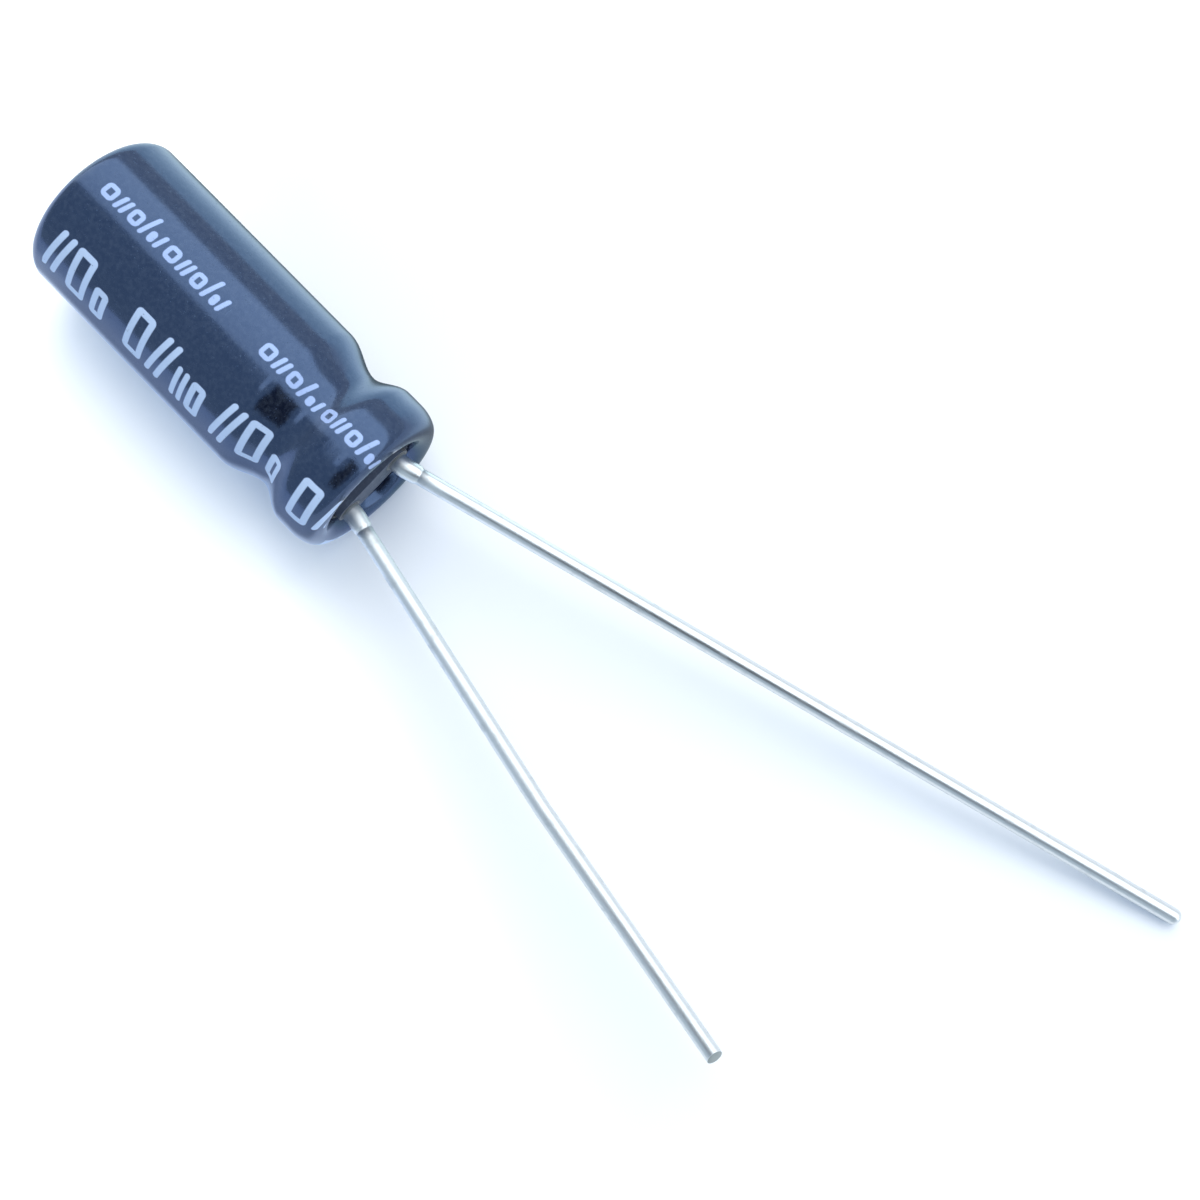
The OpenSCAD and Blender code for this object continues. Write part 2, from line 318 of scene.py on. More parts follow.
def tableFinish(s):  # beside the can the paper is seen and mirrored at the photo's own levels, which paint light and shade: brighter for the camera where the can's shadow falls, darker near the can and brighter further out in mirrors, and a painted blue glow
    material, start = newMaterial("tableWhitePaintedLight")
    camera = start.node("ShaderNodeLightPath", out="Is Camera Ray")
    glossy = start.node("ShaderNodeLightPath", out="Is Glossy Ray")
    x, y = placed(start).split()[:2]
    out = y - axisY
    # share of the zone by the can where mirrors see the painted levels and painted blue of the paper
    beside = ((s["besideFrom"] - x) / s["besideFade"]).most(0).least(1)
    low, high = s["aheadSide"]
    # painted light in mirrors ahead of the closed end
    ahead = ((s["aheadFrom"] - x) / s["aheadFade"]).most(0).least(1)
    ahead = ahead * (1 - abs(out).over((low + high) / 2, high - low))
    # painted light: the camera sees the paper brighter beside the can, which thins the can's cast shadow
    paintedLightShare = ((s["seenFrom"] - x - y * s["seenLean"]) / s["seenFade"]).most(0).least(1)
    seen = s["seenPlain"] + paintedLightShare * paintedLightShare * (s["seenPaintedLight"] - s["seenPlain"])
    # painted reflection: mirrors see the paper darker close to the can (painted shade) and brighter
    # further out (painted light)
    first = s["paintedMirrorLevels"][0][0]
    span = s["paintedMirrorLevels"][-1][0] - first
    stops = [((at - first) / span, rgba(gain / 2, gain / 2, gain / 2)) for at, gain in s["paintedMirrorLevels"]]
    gain = start.node("ShaderNodeValToRGB", {"stops": stops}, {"Fac": (out - first) / span}) * 2
    right = coloured(start, rgba(0, 0, 0)).tint(s["paintedTealRight"], gain.least(1))
    gain = gain * (1 - ahead) + ahead * s["paintedMirrorAhead"]
    mirrored = s["mirroredPlain"] * (1 - beside) + gain * beside
    shade = s["paper"] + camera * (seen - s["paper"]) + glossy * (mirrored - s["paper"])
    colour = start.node("ShaderNodeCombineXYZ", None, {0: shade, 1: shade, 2: shade})
    paper = start.node("ShaderNodeBsdfDiffuse", None, {"Color": colour})
    # painted blue glow: an emission for camera and mirror rays that lifts the paper's shadows and
    # reflections towards blue
    paintedBlueNearCan = coloured(start, s["paintedBlueBeside"]).tint(right, out.over(0, 1))
    paintedBlueInMirror = coloured(start, s["paintedBluePlain"]).tint(paintedBlueNearCan, beside)
    paintedBlueShown = coloured(start, s["paintedBlueSeen"]).tint(s["paintedBlueByCan"], paintedLightShare)
    blue = coloured(start, rgba(0, 0, 0)).tint(paintedBlueShown, camera).tint(paintedBlueInMirror, glossy)
    lift = start.node("ShaderNodeEmission", None, {"Color": blue})
    both = start.node("ShaderNodeAddShader", None, {0: paper, 1: lift})
    start.node("ShaderNodeOutputMaterial", None, {"Surface": both})
    return material


def cardFinish(s):  # dark with ragged edges, and like the room round it
    material, start = newMaterial("cardDark")
    point = placed(start)
    x, y = point.split()[:2]
    ragged = (noise(start, point, s["raggedScale"], 3) - 0.5) * s["ragged"]
    (low, high), (near, far) = s["darkX"], s["darkY"]
    outX = (abs(x - (low + high) / 2) - (high - low) / 2 + s["darkRound"]).most(0)
    outY = (abs(y - (near + far) / 2) - (far - near) / 2 + s["darkRound"]).most(0)
    outside = outX.sum("SQRT", outX * outX + outY * outY) + ragged
    core = (x + ragged).over(s["coreX"], s["coreEdge"])
    dark = coloured(start, s["cardCore"]).tint(s["cardGrey"], core)
    shown = dark.tint(s["roomDim"], outside.over(s["darkRound"], s["darkEdge"]))
    glow = start.node("ShaderNodeEmission", None, {"Color": shown})
    start.node("ShaderNodeOutputMaterial", None, {"Surface": glow})
    return material


makeCamera(cameraSet)
makeWorld(studioSet)
makeKeyLight(studioSet)
s = studioSet
tableSpan = (-s["tableHalf"], s["tableHalf"])
makeFlat("table", tableSpan, tableSpan, 0, tableFinish(s))
card = makeFlat("darkCard", s["cardX"], s["cardY"], s["cardAt"], cardFinish(s))
card.visible_camera = False
card.visible_diffuse = False
card.visible_shadow = False
card.visible_transmission = False
print("studio made")


# Finishes

def finishMaterial(start, values):
    shader = start.node("ShaderNodeBsdfPrincipled", None, values)
    start.node("ShaderNodeOutputMaterial", None, {"Surface": shader})


def bumped(start, height, strength, distance):
    return start.node("ShaderNodeBump", None,
                      {"Strength": strength, "Distance": distance * mm, "Height": height})


filmSet = {
    "film": rgba(0.0028, 0.0042, 0.0125),
    "filmPale": rgba(0.0075, 0.0105, 0.021),
    "filmMottle": rgba(0.022, 0.028, 0.042),
    "patchScale": 3.0,
    "mottleScale": 7.5,
    "speckScale": 16,
    "wearScale": 9,
    "waveScale": 7,
    "grainScale": 22,
    "fineInk": rgba(0.33, 0.42, 0.66),
    # the bold row's print colour, painted lighter than the fine row's to make up for the shade on its side
    # of the can
    "boldInkPaintedLighter": rgba(0.53, 0.65, 0.86),
    "filmRough": 0.13,
    "inkRough": 0.45,
    "bump": 0.42,
    "bumpDepth": 0.006,
    "ior": 1.72,
    "specular": 1.0,
    "specularTint": rgba(0.355, 0.55, 1.0),
    "fineFrom": 1.49,  # along the film's own outline from the closed end, and so are the next sizes
    "fineEvery": 6.35,
    "fineHalf": 2.5,
    "fineAngle": 80,  # round the can from +Y towards the top
    "fineStroke": 0.135,
    "boldFrom": 1.24,
    "boldEvery": 6.85,
    "boldAngle": 133.5,
    "boldStroke": 0.21,
    "rowLead": 0.3,
    "markSlant": 0.22,
    "markCorner": 0.16,
    "stripeFrom": 0.55,
    "stripeAngle": 211,
    "stripeHalf": 24,
    "dashEvery": 2.7,
    "dashHalf": (0.55, 0.15),
    "printFrom": 0.3,
    "printTo": 12.75,
    "edgeSoft": 0.03,
}

# Marks of a printed row: shape, centre along and across the row, half width, half height
fineMarks = [
    ("frame", 0.24, 0.0, 0.23, 0.24),
    ("slash", 0.66, 0.0, 0.07, 0.25),
    ("slash", 0.88, 0.0, 0.07, 0.25),
    ("frame", 1.28, 0.0, 0.21, 0.24),
    ("slash", 1.70, 0.12, 0.07, 0.38),
    ("bar", 1.98, -0.06, 0.11, 0.18),
    ("slash", 2.26, 0.0, 0.07, 0.25),
]
boldMarks = [
    ("slash", 0.22, 0.0, 0.10, 0.78),
    ("slash", 0.58, 0.0, 0.10, 0.78),
    ("frame", 1.32, 0.0, 0.37, 0.78),
    ("frame", 2.20, -0.28, 0.27, 0.50),
    ("frame", 3.68, 0.0, 0.37, 0.78),
    ("slash", 4.48, 0.0, 0.10, 0.78),
    ("slash", 4.84, 0.0, 0.10, 0.78),
    ("bar", 5.32, -0.22, 0.09, 0.56),
    ("bar", 5.60, -0.22, 0.09, 0.56),
    ("frame", 6.09, -0.22, 0.27, 0.56),
]


def markShape(s, shape, along, across, centre, halfSize, stroke):
    x = along - centre[0]
    y = across - centre[1]
    if shape == "slash":
        x = x - y * s["markSlant"]
    corner = min(halfSize[0], s["markCorner"])
    outX = (abs(x) - (halfSize[0] - corner)).most(0)
    outY = (abs(y) - (halfSize[1] - corner)).most(0)
    deep = (abs(x) - (halfSize[0] - corner)).most(abs(y) - (halfSize[1] - corner)).least(0)
    distance = outX.sum("SQRT", outX * outX + outY * outY) + deep - corner
    if shape == "frame":
        distance = abs(distance + stroke / 2) - stroke / 2
    return 1 - distance.over(0, s["edgeSoft"])


def markRow(s, marks, along, across, stroke):
    row = None
    for shape, centreU, centreV, halfU, halfV in marks:
        mark = markShape(s, shape, along, across, (centreU, centreV), (halfU, halfV), stroke)
        row = mark if row is None else row.most(mark)
    return row


def printedInk(start, s):
    along = start.node("ShaderNodeAttribute", {"attribute_name": "along"}, out="Fac") / mm
    y, z = placed(start).split()[1:]
    angle = start.sum("ARCTAN2", z - axisZ, y - axisY) * degrees
    wide = filmRadius / degrees  # mm of film in a degree
    end, soft = s["printTo"], s["edgeSoft"]
    at = (along - s["boldFrom"]) % s["boldEvery"]
    bold = markRow(s, boldMarks, at, (s["boldAngle"] - angle) * wide, s["boldStroke"])
    bold = bold * along.between(s["boldFrom"] - s["rowLead"], end, soft)
    at = (along - s["fineFrom"]) % s["fineEvery"]
    fine = markRow(s, fineMarks, at % s["fineHalf"], (s["fineAngle"] - angle) * wide, s["fineStroke"])
    fine = fine * at.between(0, 2 * s["fineHalf"], soft)
    fine = fine * along.between(s["fineFrom"] - s["rowLead"], end, soft)
    aside = angle % 360 - s["stripeAngle"]
    stripe = 1 - (abs(aside) - s["stripeHalf"]).over(0, 1)
    at = along % s["dashEvery"]
    minus = markShape(s, "bar", at, aside * wide, (s["dashEvery"] / 2, 0), s["dashHalf"], s["fineStroke"])
    stripe = stripe * (1 - minus) * along.between(s["stripeFrom"], end, soft)
    return bold.most(stripe) * along.between(s["printFrom"], end, soft), fine


def filmFinish(s):
    material, start = newMaterial("filmNavy")
    point = placed(start)
    bold, fine = printedInk(start, s)
    ink = bold.most(fine)
    patchy = noise(start, point, s["patchScale"], 3)
    mottled = noise(start, point, s["mottleScale"], 4, 0.6).over(0.54, 0.22)
    specks = noise(start, point, s["speckScale"], 2).over(0.70, 0.06)
    film = coloured(start, s["film"]).tint(s["filmPale"], patchy.over(0.5, 0.5))
    film = film.tint(s["filmMottle"], mottled * 0.75)
    worn = ink * (1 - noise(start, point, s["wearScale"], 3).over(0.72, 0.10) * 0.5)
    # the bold row's ink is painted lighter, against the shade on its side of the can
    colour = film.tint(coloured(start, s["fineInk"]).tint(s["boldInkPaintedLighter"], bold), worn)
    rough = s["filmRough"] + specks * 0.25 + patchy * 0.05
    rough = rough * (1 - ink) + ink * s["inkRough"]
    waves = noise(start, point, s["waveScale"], 3)
    grain = noise(start, point, s["grainScale"], 2)
    height = waves * 0.5 + grain * 0.35 - specks * 0.6 + ink * 0.5
    finishMaterial(start, {
        "Base Color": colour,
        "Roughness": rough,
        "IOR": s["ior"],
        "Specular IOR Level": s["specular"],
        "Specular Tint": s["specularTint"],
        "Normal": bumped(start, height, s["bump"], s["bumpDepth"]),
    })
    return material


aluminiumSet = {
    "cloudy": rgba(0.62, 0.63, 0.64),
    "cloudScale": 1.6,
    "grainScale": 18,
    "bump": 0.3,
    "bumpDepth": 0.008,
}


def aluminiumFinish(s, name, colour, roughness):
    material, start = newMaterial(name)
    point = placed(start)
    grain = noise(start, point, s["grainScale"], 4)
    cloud = noise(start, point, s["cloudScale"], 3)
    finishMaterial(start, {
        "Base Color": coloured(start, colour).tint(s["cloudy"], cloud.over(0.6, 0.4) * 0.4),
        "Metallic": 1.0,
        "Roughness": roughness + grain * 0.12,
        "Normal": bumped(start, grain, s["bump"], s["bumpDepth"]),
    })
    return material


tabSet = {
    "metal": rgba(0.82, 0.82, 0.83),
    "weldScale": rgba(0.10, 0.11, 0.13),
    "weldBelowLip": 0.55,
    "weldEdge": 0.2,
    "rough": 0.34,
    "grainScale": 18,
    "bump": 0.3,
    "bumpDepth": 0.008,
}


def tabFinish(s):  # bright on the element, dark with weld scale where the rod meets the wire
    material, start = newMaterial("tabAluminium")
    point = placed(start)
    grain = noise(start, point, s["grainScale"], 4)
    weld = (point.split()[0] + grain * s["weldEdge"]).over(lipX - s["weldBelowLip"], s["weldEdge"])
    finishMaterial(start, {
        "Base Color": coloured(start, s["metal"]).tint(s["weldScale"], weld * 0.9),
        "Metallic": 1 - weld * 0.4,
        "Roughness": s["rough"] + grain * 0.12 + weld * 0.25,
        "Normal": bumped(start, grain, s["bump"], s["bumpDepth"]),
    })
    return material


tinSet = {
    "tin": rgba(0.76, 0.79, 0.81),
    "dull": rgba(0.60, 0.63, 0.65),
    "streakAround": 2.2,
    "streakAlong": 0.35,
    "streakScale": 2.4,
    "waveScale": 0.9,
    "grainScale": 26,
    "dullScale": 2.2,
    "bump": 0.4,
    "bumpDepth": 0.012,
}


def tinnedFinish(s, name, roughness):
    material, start = newMaterial(name)
    along = start.node("ShaderNodeAttribute", {"attribute_name": "along"}, out="Fac") / mm
    turn = start.node("ShaderNodeAttribute", {"attribute_name": "round"}, out="Fac") * (2 * math.pi)
    drawn = start.node("ShaderNodeCombineXYZ", None, {
        0: start.sum("COSINE", turn) * s["streakAround"],
        1: start.sum("SINE", turn) * s["streakAround"],
        2: along * s["streakAlong"],
    })
    streaks = noise(start, drawn, s["streakScale"], 4, 0.6)
    waves = noise(start, start.node("ShaderNodeCombineXYZ", None, {2: along}), s["waveScale"], 2)
    grain = noise(start, placed(start), s["grainScale"], 3)
    dull = noise(start, placed(start), s["dullScale"], 4).over(0.62, 0.14)
    height = streaks * 0.5 + grain * 0.2 + waves * 1.5
    finishMaterial(start, {
        "Base Color": coloured(start, s["tin"]).tint(s["dull"], dull * 0.6),
        "Metallic": 1.0,
        "Roughness": roughness + streaks * 0.10 + dull * 0.12,
        "Normal": bumped(start, height, s["bump"], s["bumpDepth"]),
    })
    return material


rubberSet = {
    "rubber": rgba(0.056, 0.073, 0.120),
    "dusty": rgba(0.11, 0.14, 0.20),
    "dustScale": 5,
    "grainScale": 14,
    "rough": 0.55,
    "bump": 0.5,
    "bumpDepth": 0.02,
}


def rubberFinish(s):
    material, start = newMaterial("rubberGrey")
    point = placed(start)
    grain = noise(start, point, s["grainScale"], 4, 0.6)
    dust = noise(start, point, s["dustScale"], 4, 0.65).over(0.58, 0.16)
    finishMaterial(start, {
        "Base Color": coloured(start, s["rubber"]).tint(s["dusty"], dust * 0.5),
        "Roughness": s["rough"] + grain * 0.2,
        "Normal": bumped(start, grain, s["bump"], s["bumpDepth"]),
    })
    return material


etchedSet = {
    "foil": rgba(0.42, 0.43, 0.43),
    "pits": rgba(0.30, 0.31, 0.31),
    "pitScale": 40,
    "metallic": 0.7,
    "rough": 0.7,
    "bump": 0.4,
    "bumpDepth": 0.006,
}


def etchedFinish(s):
    material, start = newMaterial("foilEtched")
    pits = noise(start, placed(start), s["pitScale"], 4, 0.7)
    finishMaterial(start, {
        "Base Color": coloured(start, s["foil"]).tint(s["pits"], pits.over(0.5, 0.4)),
        "Metallic": s["metallic"],
        "Roughness": s["rough"] + pits * 0.15,
        "Normal": bumped(start, pits, s["bump"], s["bumpDepth"]),
    })
    return material


paperSet = {
    "paper": rgba(0.74, 0.64, 0.46),
    "soaked": rgba(0.60, 0.50, 0.33),
    "fibreStretch": (6, 1.5, 1.5),
    "fibreScale": 3,
    "rough": 0.85,
    "bump": 0.4,
    "bumpDepth": 0.01,
}


def paperFinish(s):
    material, start = newMaterial("paperSeparator")
    fibres = noise(start, placed(start).scaled(*s["fibreStretch"]), s["fibreScale"], 5, 0.7)
    finishMaterial(start, {
        "Base Color": coloured(start, s["paper"]).tint(s["soaked"], fibres.over(0.5, 0.4)),
        "Roughness": s["rough"] + fibres * 0.1,
        "Normal": bumped(start, fibres, s["bump"], s["bumpDepth"]),
    })
    return material


tapeSet = {
    "amber": rgba(0.55, 0.36, 0.10),
    "amberPale": rgba(0.66, 0.46, 0.16),
    "rippleScale": 2.5,
    "rough": 0.25,
    "bump": 0.3,
    "bumpDepth": 0.01,
}


def tapeFinish(s):
    material, start = newMaterial("tapeAmber")
    ripples = noise(start, placed(start), s["rippleScale"], 3)
    finishMaterial(start, {
        "Base Color": coloured(start, s["amber"]).tint(s["amberPale"], ripples),
        "Roughness": s["rough"] + ripples * 0.15,
        "Normal": bumped(start, ripples, s["bump"], s["bumpDepth"]),
    })
    return material


finishes = {
    "film": filmFinish(filmSet),
    "can": aluminiumFinish(aluminiumSet, "canAluminium", rgba(0.80, 0.81, 0.82), 0.28),
    "tab": tabFinish(tabSet),
    "plainFoil": aluminiumFinish(aluminiumSet, "foilPlain", rgba(0.78, 0.78, 0.77), 0.30),
    "etchedFoil": etchedFinish(etchedSet),
    "rubber": rubberFinish(rubberSet),
    "paper": paperFinish(paperSet),
    "tape": tapeFinish(tapeSet),
    "wire": tinnedFinish(tinSet, "wireTinned", 0.25),
    "dullWire": tinnedFinish(tinSet, "wireTinnedDull", 0.36),
    "cutWire": aluminiumFinish(aluminiumSet, "wireCut", rgba(0.30, 0.34, 0.34), 0.42),
}
print("finishes made:", len(finishes))


# Geometry Nodes trees

def newTree(name, inputs):
    tree = bpy.data.node_groups.new(name, "GeometryNodeTree")
    tree.interface.new_socket(name="Geometry", in_out="OUTPUT", socket_type="NodeSocketGeometry")
    tree.interface.new_socket(name="Geometry", in_out="INPUT", socket_type="NodeSocketGeometry")
    for title, (kind, default) in inputs.items():
        made = tree.interface.new_socket(name=title, in_out="INPUT", socket_type="NodeSocket" + kind)
        if default is not None:
            made.default_value = default
    start = Socket(tree)
    given = {title: start.node("NodeGroupInput", out=title) for title in ("Geometry", *inputs)}
    return tree, start, given


def endTree(start, given, mesh):
    joined = start.node("GeometryNodeMergeByDistance", None,
                        {"Geometry": mesh, "Distance": given["Weld distance"]})
    smooth = start.node("GeometryNodeSetShadeSmooth", None, {"Geometry": joined, "Shade Smooth": True})
    real = start.node("GeometryNodeRealizeInstances", None, {"Geometry": smooth})
    done = start.node("GeometryNodeSetMaterial", None, {"Geometry": real, "Material": given["Finish"]})
    start.node("NodeGroupOutput", None, {"Geometry": done})


def keepAttribute(start, geometry, name, value):
    return start.node("GeometryNodeStoreNamedAttribute", {"data_type": "FLOAT", "domain": "POINT"},
                      {"Geometry": geometry, "Name": name, "Value": value})


def turnedTree():  # turns a section about Z
    tree, start, given = newTree("turnedShell", {
        "Turning radius": ("Float", 0.001),
        "Steps round": ("Int", 128),
        "Weld distance": ("Float", weldDistance),
        "Finish": ("Material", None),
    })
    circle = start.node("GeometryNodeCurvePrimitiveCircle", {"mode": "RADIUS"}, {
        "Resolution": given["Steps round"],
        "Radius": given["Turning radius"],
    }, out="Curve")
    length = start.node("GeometryNodeSplineParameter", out="Length")
    section = keepAttribute(start, given["Geometry"], "along", length)
    mesh = start.node("GeometryNodeCurveToMesh", None, {"Curve": circle, "Profile Curve": section})
    endTree(start, given, mesh)
    return tree


def wireTree():  # draws a wire along a path, whose points carry its thickness
    tree, start, given = newTree("drawnWire", {
        "Wire radius": ("Float", 0.00025),
        "Sides": ("Int", 48),
        "Weld distance": ("Float", weldDistance),
        "Finish": ("Material", None),
    })
    circle = start.node("GeometryNodeCurvePrimitiveCircle", {"mode": "RADIUS"}, {
        "Resolution": given["Sides"],
        "Radius": given["Wire radius"],
    }, out="Curve")
    factor = start.node("GeometryNodeSplineParameter", out="Factor")
    length = start.node("GeometryNodeSplineParameter", out="Length")
    section = keepAttribute(start, circle, "round", factor)
    path = keepAttribute(start, given["Geometry"], "along", length)
    mesh = start.node("GeometryNodeCurveToMesh", None, {
        "Curve": path,
        "Profile Curve": section,
        "Scale": start.node("GeometryNodeInputRadius"),
        "Fill Caps": True,
    })
    endTree(start, given, mesh)
    return tree


def polyCurve(name, points, radii=None, closed=False):
    curve = bpy.data.curves.new(name, "CURVE")
    curve.dimensions = "3D"
    spline = curve.splines.new("POLY")
    spline.points.add(len(points) - 1)
    for i, point in enumerate(points):
        spline.points[i].co = (*(Vector(point) * mm), 1)
        spline.points[i].radius = radii[i] if radii else 1
    spline.use_cyclic_u = closed
    made = bpy.data.objects.new(name, curve)
    bpy.context.scene.collection.objects.link(made)
    return made


def meshFrom(source, tree, values, name):
    modifier = source.modifiers.new(tree.name, "NODES")
    modifier.node_group = tree
    for item in tree.interface.items_tree:
        if item.item_type == "SOCKET" and item.in_out == "INPUT" and item.name in values:
            modifier[item.identifier] = values[item.name]
    depsgraph = bpy.context.evaluated_depsgraph_get()
    mesh = bpy.data.meshes.new_from_object(source.evaluated_get(depsgraph))
    bpy.data.objects.remove(source)
    tidyMesh(mesh)
    made = bpy.data.objects.new(name, mesh)
    bpy.context.scene.collection.objects.link(made)
    return made


def tidyMesh(mesh):
    work = bmesh.new()
    work.from_mesh(mesh)
    bmesh.ops.dissolve_degenerate(work, dist=weldDistance / 10, edges=work.edges)
    bmesh.ops.recalc_face_normals(work, faces=work.faces)
    work.to_mesh(mesh)
    work.free()


def standFor(piece, nodes):
    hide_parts(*nodes)
    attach(piece, "root")


laid = (Matrix.Translation(Vector((closedX, axisY, axisZ)) * mm)
        @ Matrix.Rotation(math.radians(bodyRoll), 4, "X")
        @ Matrix.Rotation(math.radians(90), 4, "Y"))


def arc(centre, radius, start, end, steps):
    turns = [math.radians(start + (end - start) * i / steps) for i in range(steps + 1)]
    return [(centre[0] + radius * math.cos(a), centre[1] + radius * math.sin(a)) for a in turns]


canSet = {
    "radius": 2.5,
    "length": 11.55,
    "wall": 0.22,
    "base": 0.30,
    "corner": 0.36,
    "innerCorner": 0.15,
    "shoulder": 1.2,
    "shoulderBend": 24,
    "curl": 0.37,
    "curlBite": 0.12,
    "filmThickness": 0.09,
    "filmSlack": 0.01,
    "filmEye": 1.85,
    "filmTuck": 80,
    "beadDepth": 0.43,
    "beadDrop": 2.25,
    "beadBack": 1.40,
    "beadFront": 1.05,
    "filmRounded": [(0, 0.02), (0.015, 0.004), (0.04, 0)],  # out from the film's eye, and the level
    "biteRounded": 0.02,
    "curlFrom": 4,  # degrees past the shoulder
    "wallFrom": 0.1,  # the wall's points start past the closed end's corner and stop short of the shoulder
    "wallShort": 0.05,
    "boreFrom": 0.2,
    "filmSteps": 240,
    "canSteps": 160,
}
canFoot = canSet["filmThickness"] + canSet["filmSlack"]
rimLevel = canFoot + canSet["length"]
beadLevel = rimLevel - canSet["beadDrop"]
shoulderTurn = math.radians(canSet["shoulderBend"])
shoulderReach = canSet["shoulder"] - canSet["curl"]
curlCentre = (canSet["radius"] - canSet["shoulder"] + shoulderReach * math.cos(shoulderTurn),
              rimLevel - canSet["curl"])
shoulderCentre = (canSet["radius"] - canSet["shoulder"],
                  curlCentre[1] - shoulderReach * math.sin(shoulderTurn))
wallTop = shoulderCentre[1] - canSet["wallShort"]


def beadDip(level):  # a cosine that runs out at the two ends of the groove
    run = canSet["beadBack"] if level < beadLevel else canSet["beadFront"]
    share = min(abs(level - beadLevel) / run, 1)
    return canSet["beadDepth"] * (1 + math.cos(math.pi * share)) / 2


def beadedWall(radius, low, high, fine):
    marks = [low, beadLevel - canSet["beadBack"], beadLevel + canSet["beadFront"], high]
    levels = []
    for first, last, steps in zip(marks, marks[1:], (4, 30 * fine, 2)):
        levels += [first + (last - first) * i / steps for i in range(steps)]
    return [(radius - beadDip(level), level) for level in levels + [high]]


def rim(offset, last, fine):
    c = canSet
    return (arc(shoulderCentre, c["shoulder"] + offset, 0, c["shoulderBend"], 5 * fine)
            + arc(curlCentre, c["curl"] + offset, c["shoulderBend"] + c["curlFrom"], last, 12 * fine))


def skin(offset, last, fine):  # the can's side, from the closed end's corner to the turned-in rim
    c = canSet
    corner = (c["radius"] - c["corner"], canFoot + c["corner"])
    return (arc(corner, c["corner"] + offset, -90, 0, 6 * fine)
            + beadedWall(c["radius"] + offset, corner[1] + c["wallFrom"], wallTop, fine)
            + rim(offset, last, fine))


def turned(name, section, closed, steps, finish):
    turning = 1.0
    curve = polyCurve(name + "Section", [(r - turning, -z, 0) for r, z in section], closed=closed)
    made = meshFrom(curve, turnedShell, {
        "Turning radius": turning * mm,
        "Steps round": steps,
        "Weld distance": weldDistance,
        "Finish": finish,
    }, name)
    made.data.transform(laid)
    return made


turnedShell = turnedTree()
drawnWire = wireTree()

c = canSet
film = c["filmThickness"]
eyeRound = c["filmRounded"][0][1]
outer = skin(c["filmSlack"] + film, 90 + c["filmTuck"], 3)
inner = skin(c["filmSlack"], 90 + c["filmTuck"], 1)
filmSection = ([(c["filmEye"] + ahead, level) for ahead, level in c["filmRounded"]]
               + outer
               + inner[::-1]
               + [(c["filmEye"] + eyeRound, film), (c["filmEye"], film - eyeRound)])
sleeve = turned("filmSleeve", filmSection, True, c["filmSteps"], finishes["film"])
standFor(sleeve, ["sleeve"])
print("sleeve made:", len(sleeve.data.polygons), "faces")

bore = c["radius"] - c["wall"]
floorLevel = canFoot + c["base"]
biteLevel = curlCentre[1] - c["curlBite"]
mouth = curlCentre[0] - c["curl"]
bitten = c["biteRounded"]
canSection = ([(0, canFoot)]
              + skin(0, 180, 2)
              + [(mouth, biteLevel + bitten), (mouth + bitten, biteLevel)]
              + [(mouth + c["wall"] - bitten, biteLevel), (mouth + c["wall"], biteLevel + bitten)]
              + rim(-c["wall"], 180, 1)[::-1]
              + beadedWall(bore, floorLevel + c["boreFrom"], wallTop, 1)[::-1]
              + arc((bore - c["innerCorner"], floorLevel + c["innerCorner"]), c["innerCorner"], 0, -90, 6)
              + [(0, floorLevel)])
can = turned("canShell", canSection, False, c["canSteps"], finishes["can"])
standFor(can, ["can"])
print("can made:", len(can.data.polygons), "faces")


# Bung: the solid's own mesh with its edges rounded

bungSet = {
    "edge": 0.03,
    "edgeSteps": 3,
    "sharpFrom": 40,
    "flatBelow": 1.5,
}


def rounded(s, name, node, finish):
    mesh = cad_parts[node].data.copy()
    mesh.materials.clear()
    work = bmesh.new()
    work.from_mesh(mesh)
    bmesh.ops.remove_doubles(work, verts=work.verts, dist=weldDistance)
    flat = math.radians(s["flatBelow"])
    bmesh.ops.dissolve_limit(work, angle_limit=flat, verts=work.verts, edges=work.edges)
    work.to_mesh(mesh)
    work.free()
    made = bpy.data.objects.new(name, mesh)
    bpy.context.scene.collection.objects.link(made)
    bevel = made.modifiers.new("softEdges", "BEVEL")
    bevel.width = s["edge"] * mm
    bevel.segments = s["edgeSteps"]
    bevel.limit_method = "ANGLE"
    bevel.angle_limit = math.radians(s["sharpFrom"])
    depsgraph = bpy.context.evaluated_depsgraph_get()
    result = bpy.data.meshes.new_from_object(made.evaluated_get(depsgraph))
    made.modifiers.clear()
    made.data = result
    made.data.materials.append(finish)
    made.data.shade_smooth()
    return made


bung = rounded(bungSet, "rubberBung", "bung", finishes["rubber"])
standFor(bung, ["bung"])
print("bung made:", len(bung.data.polygons), "faces")


# Leads

leadSet = {
    "pitch": 2.0,
    "wire": 0.25,
    "weld": 0.30,
    "weldDraw": 0.015,
    "weldRoot": 0.10,
    "weldEdge": 0.015,
    "weldTail": 0.36,
    "weldRound": 0.03,
    "weldStep": 0.01,
    "weldTaper": 0.08,
    "rootAhead": -0.04,
    "bendRadius": 1.0,
    "anodeBend": 16.6,
    "anodeRun": 25.8,
    "cathodeBend": 11.6,
    "cathodeTurn": 175.5,
    "cathodeRun": 9.6,
    "kinkRadius": 10,
    "kinkBend": 2.2,
    "cathodeEnd": 8.2,
    "cutTilt": 30,
    "cutEdge": 0.012,
    "cutPast": 0.5,
    "tipSteps": 10,
    "sides": 48,
}


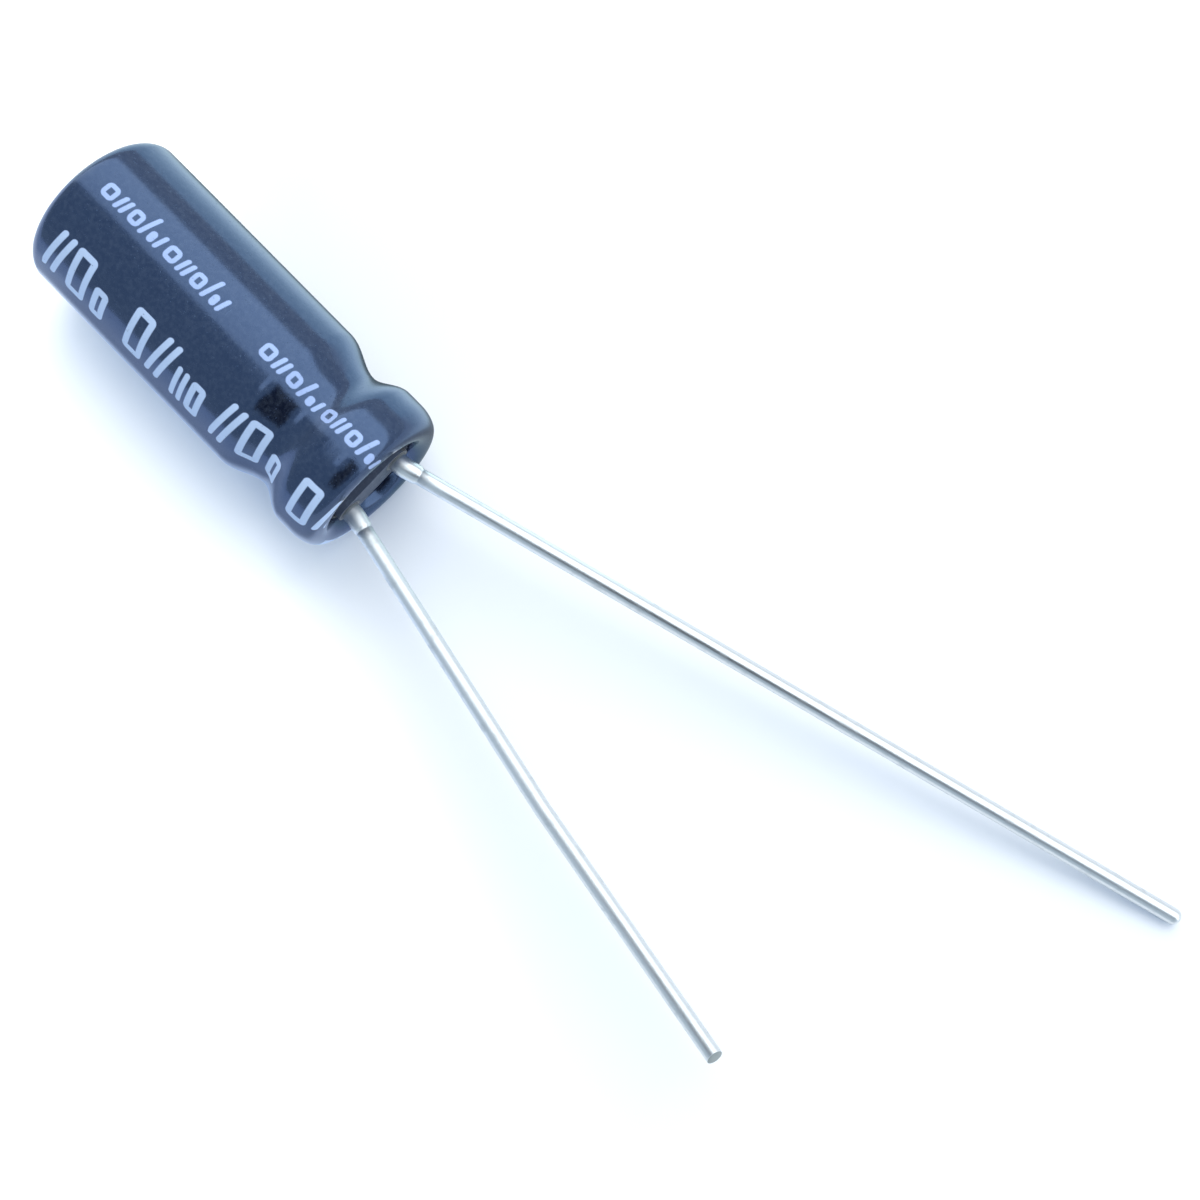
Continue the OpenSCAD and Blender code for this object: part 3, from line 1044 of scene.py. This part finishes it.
def leadPath(bend, run, kink=0, last=0):  # points, and the wire's thickness at each
    s = leadSet
    thick = s["weld"] / s["wire"]
    drawn = thick - s["weldDraw"] / s["wire"]
    points = [(-s["weldRoot"], 0.0), (s["weldEdge"] - s["weldRoot"], 0.0), (0.0, 0.0)]
    radii = [thick * 0.95, thick, thick]
    heading = 0.0

    def forward(length, steps, thickness=1.0):
        x, y = points[-1]
        for i in range(1, steps + 1):
            step = length * i / steps
            points.append((x + step * math.cos(heading), y + step * math.sin(heading)))
            radii.append(thickness)

    def curve(radius, turn, steps, thickness=1.0):
        nonlocal heading
        side = math.copysign(1, turn)
        x, y = points[-1]
        centre = (x - side * radius * math.sin(heading), y + side * radius * math.cos(heading))
        for i in range(1, steps + 1):
            a = heading + turn * i / steps
            points.append((centre[0] + side * radius * math.sin(a),
                           centre[1] - side * radius * math.cos(a)))
            radii.append(thickness)
        heading += turn

    curve(s["bendRadius"], math.radians(bend), 8, thick)
    forward(s["weldTail"] - s["weldStep"] - s["weldRound"], 1, drawn)
    forward(s["weldRound"], 1, drawn * 0.99)
    forward(s["weldStep"] + s["weldTaper"] * 0.75, 1, 0.95)
    forward(s["weldTaper"] * 0.25, 1)
    forward(run - s["weldTail"] - s["weldTaper"], 24)
    if kink:
        curve(s["kinkRadius"], -math.radians(kink), 4)
        forward(last, 12)
    return points, radii, heading


def cutOff(mesh, place, direction, finish):  # cuts a wire across and softens the edge that the cutter left
    mesh.materials.append(finish)
    work = bmesh.new()
    work.from_mesh(mesh)
    bmesh.ops.bisect_plane(work, geom=work.verts[:] + work.edges[:] + work.faces[:],
                           plane_co=place, plane_no=direction, clear_outer=True)
    edges = [edge for edge in work.edges if edge.is_boundary]
    faces = bmesh.ops.contextual_create(work, geom=edges)["faces"]
    for face in faces:
        face.material_index = len(mesh.materials) - 1
    cutEdges = [edge for face in faces for edge in face.edges]
    bmesh.ops.bevel(work, geom=cutEdges, offset=leadSet["cutEdge"] * mm,
                    offset_type="OFFSET", segments=2, profile=0.5, affect="EDGES")
    bmesh.ops.recalc_face_normals(work, faces=work.faces)
    work.to_mesh(mesh)
    work.free()


def makeLead(name, node, side, turn, path, finish, slanted):
    s = leadSet
    points, radii, heading = path
    roll = math.radians(bodyRoll)
    root = Vector((lipX + s["rootAhead"],
                   axisY + side * s["pitch"] / 2 * math.cos(roll),
                   axisZ + side * s["pitch"] / 2 * math.sin(roll)))
    matrix = Matrix.Translation(root) @ Matrix.Rotation(math.radians(turn), 4, "X")
    forward = Vector((math.cos(heading), math.sin(heading), 0))
    end = Vector((*points[-1], 0))
    if slanted:
        tail = [(s["cutPast"], 1.0)]
    else:
        quarter = [math.pi / 2 * i / s["tipSteps"] for i in range(1, s["tipSteps"] + 1)]
        tail = [(s["wire"] * math.sin(a), math.cos(a)) for a in quarter]
    points = [Vector((*point, 0)) for point in points]
    points += [end + forward * ahead for ahead, thickness in tail]
    radii = radii + [max(thickness, 0) for ahead, thickness in tail]
    curve = polyCurve(name + "Path", [matrix @ point for point in points], radii)
    lead = meshFrom(curve, drawnWire, {
        "Wire radius": s["wire"] * mm,
        "Sides": s["sides"],
        "Weld distance": weldDistance,
        "Finish": finish,
    }, name)
    if slanted:
        tilt = math.radians(s["cutTilt"])
        direction = matrix.to_3x3() @ (forward * math.cos(tilt) - Vector((0, 0, 1)) * math.sin(tilt))
        cutOff(lead.data, matrix @ end * mm, direction, finishes["cutWire"])
    standFor(lead, [node])
    print(name, "made:", len(lead.data.polygons), "faces")


s = leadSet
anodePath = leadPath(s["anodeBend"], s["anodeRun"])
anodeRise = axisZ + s["pitch"] / 2 * math.sin(math.radians(bodyRoll)) - s["wire"]
anodeTurn = -math.degrees(math.asin(anodeRise / anodePath[0][-1][1]))  # down until its tip meets the table
makeLead("anodeWire", "anode_lead", 1, anodeTurn, anodePath, finishes["wire"], False)
cathodePath = leadPath(s["cathodeBend"], s["cathodeRun"], s["kinkBend"], s["cathodeEnd"])
makeLead("cathodeWire", "cathode_lead", -1, s["cathodeTurn"], cathodePath, finishes["dullWire"], True)


# Pieces of the wound element and the tabs keep their solids

keptNodes = {
    "anode_foil": "etchedFoil",
    "cathode_foil": "plainFoil",
    "inner_separator": "paper",
    "outer_separator": "paper",
    "fixing_tape": "tape",
    "anode_tab": "tab",
    "cathode_tab": "tab",
}
for node, finish in keptNodes.items():
    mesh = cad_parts[node].data
    mesh.materials.clear()
    mesh.materials.append(finishes[finish])
print("kept nodes finished:", len(keptNodes))

bpy.context.scene.view_settings.view_transform = "Standard"
